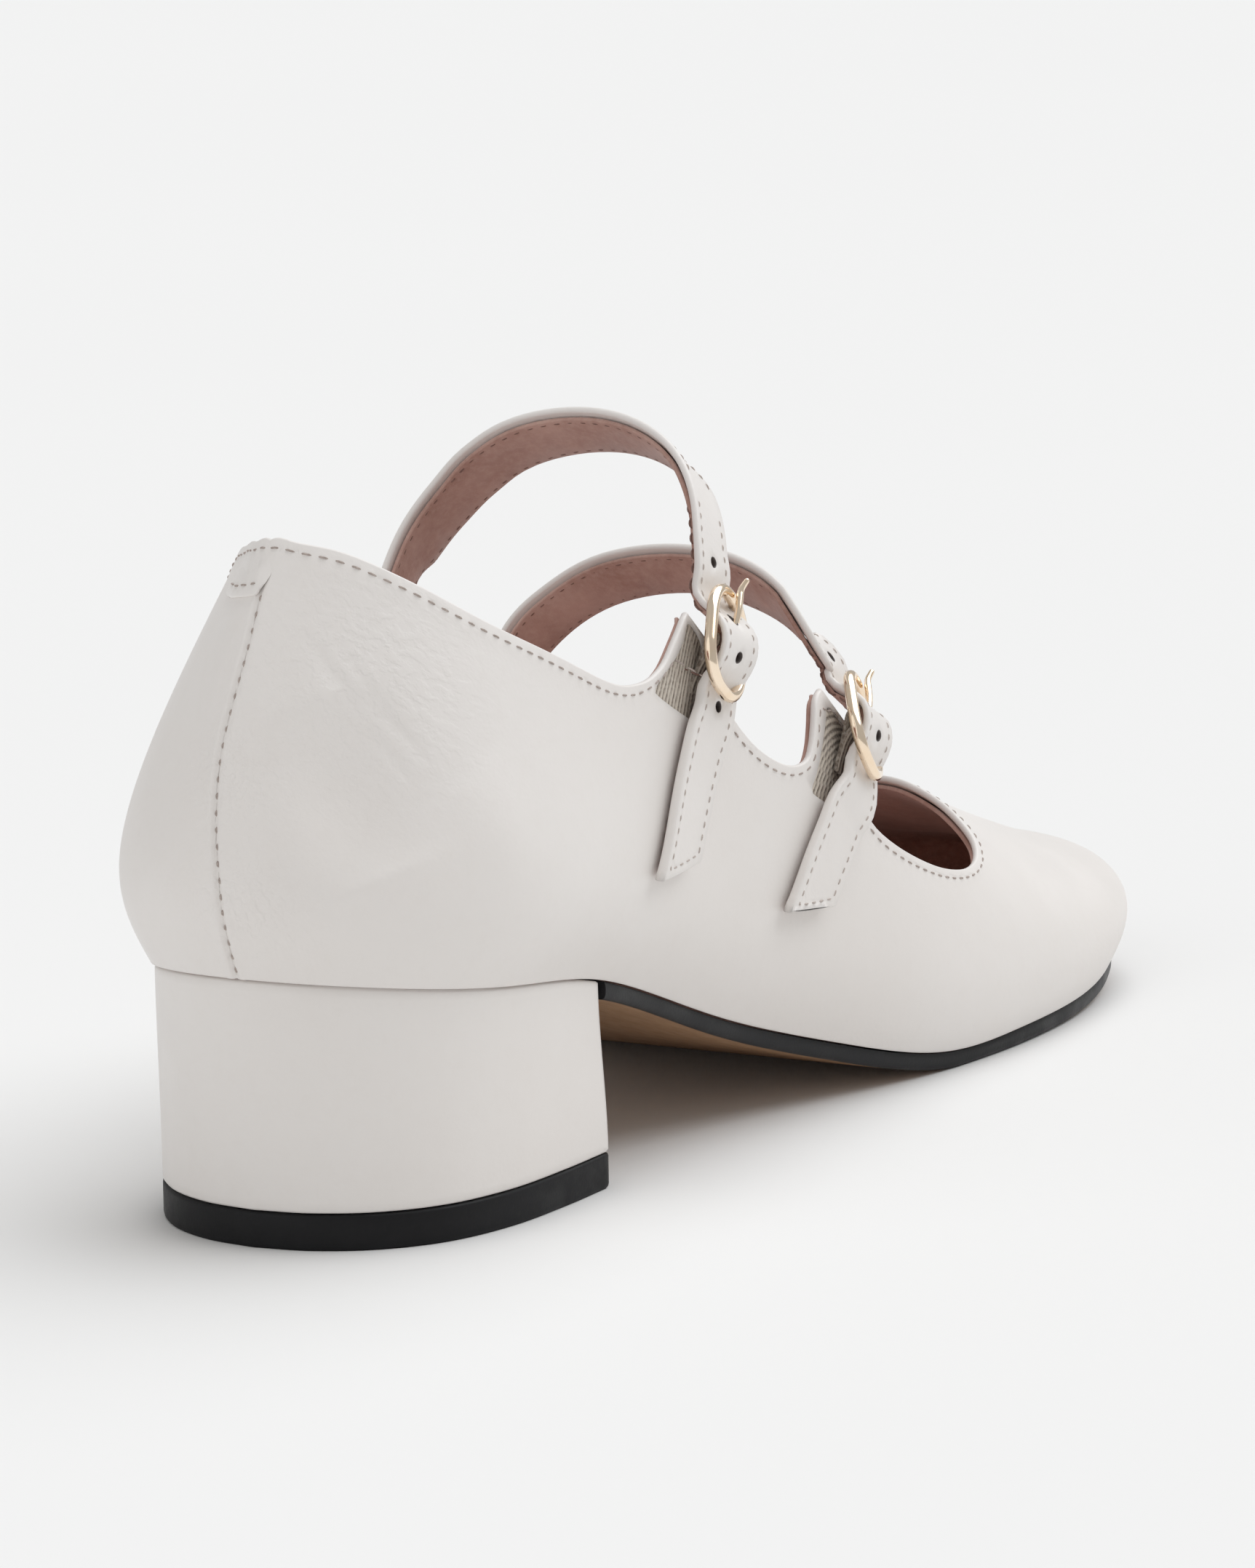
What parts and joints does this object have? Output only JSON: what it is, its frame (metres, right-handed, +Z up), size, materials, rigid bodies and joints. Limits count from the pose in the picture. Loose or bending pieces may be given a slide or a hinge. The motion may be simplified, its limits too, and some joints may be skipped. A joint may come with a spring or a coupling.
{
  "type": "shoe",
  "caption": "Right shoe with a block heel, soft square toe, low collar and narrow instep straps fastened by small buckles on the outer side.",
  "frame": {"origin": "centre of the heel top piece's lower face, on the floor", "axes": "+X towards the toe, +Y towards the inner (medial) side of the foot, +Z up"},
  "size_m": [0.2424, 0.0799, 0.1051],
  "materials": {
    "upper_leather": "smooth off-white leather, satin",
    "heel_leather": "the same leather pulled over the heel block",
    "lining": "matte rose-brown lining",
    "sole": "thin black edge, satin",
    "heel_rubber": "matte black rubber",
    "buckle_metal": "polished pale gold",
    "elastic": "ribbed olive-beige elastic webbing"
  },
  "bodies": {
    "root": {"upper": "upper_leather", "insole": "lining", "outsole": "sole", "heel_block": "heel_leather", "heel_top_piece": "heel_rubber", "rear_buckle_frame": "buckle_metal", "rear_buckle_prong": "buckle_metal", "front_buckle_frame": "buckle_metal", "front_buckle_prong": "buckle_metal", "rear_elastic": "elastic", "front_elastic": "elastic"}
  },
  "joints": []
}
